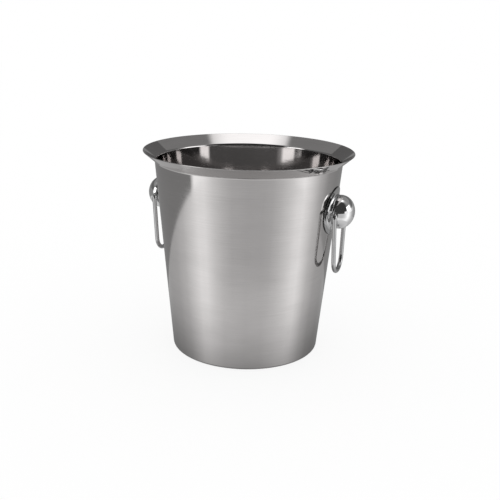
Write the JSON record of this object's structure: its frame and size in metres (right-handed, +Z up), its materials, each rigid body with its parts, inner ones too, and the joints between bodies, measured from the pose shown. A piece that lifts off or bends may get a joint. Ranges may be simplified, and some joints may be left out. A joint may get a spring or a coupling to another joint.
{
  "type": "champagne bucket",
  "caption": "Tapered steel champagne bucket with a flared lip, ball knobs on round escutcheons and hinged wire rings that swing.",
  "frame": {"origin": "centre of the base, on the surface that the bucket stands on", "axes": "+Z up; +X out through the right knob, along the line through both knobs; +Y completes the right-handed frame"},
  "size_m": [0.227, 0.2156, 0.2099],
  "materials": {
    "bowl_steel": "satin stainless steel, fine lines round the bowl",
    "escutcheon_steel": "mirror polished",
    "knob_steel": "mirror polished",
    "ring_steel": "mirror polished wire",
    "seal_rubber": "matt black",
    "fixing_steel": "plain turned stainless steel"
  },
  "bodies": {
    "bucket": {"bowl": "bowl_steel", "right_escutcheon": "escutcheon_steel", "right_knob": "knob_steel", "right_seal": "seal_rubber", "right_washer": "fixing_steel", "right_screw": "fixing_steel", "left_escutcheon": "escutcheon_steel", "left_knob": "knob_steel", "left_seal": "seal_rubber", "left_washer": "fixing_steel", "left_screw": "fixing_steel"},
    "ring_right": {"right_ring": "ring_steel"},
    "ring_left": {"left_ring": "ring_steel"}
  },
  "joints": [
    {"name": "ring_right_swing", "type": "hinge", "parent": "bucket", "child": "ring_right", "pos_m": [0.09877, 0, 0.15577], "axis": [0, -1, 0], "range_deg": [-8, 165]},
    {"name": "ring_left_swing", "type": "hinge", "parent": "bucket", "child": "ring_left", "pos_m": [-0.09877, 0, 0.15577], "axis": [0, 1, 0], "range_deg": [-8, 165]}
  ]
}
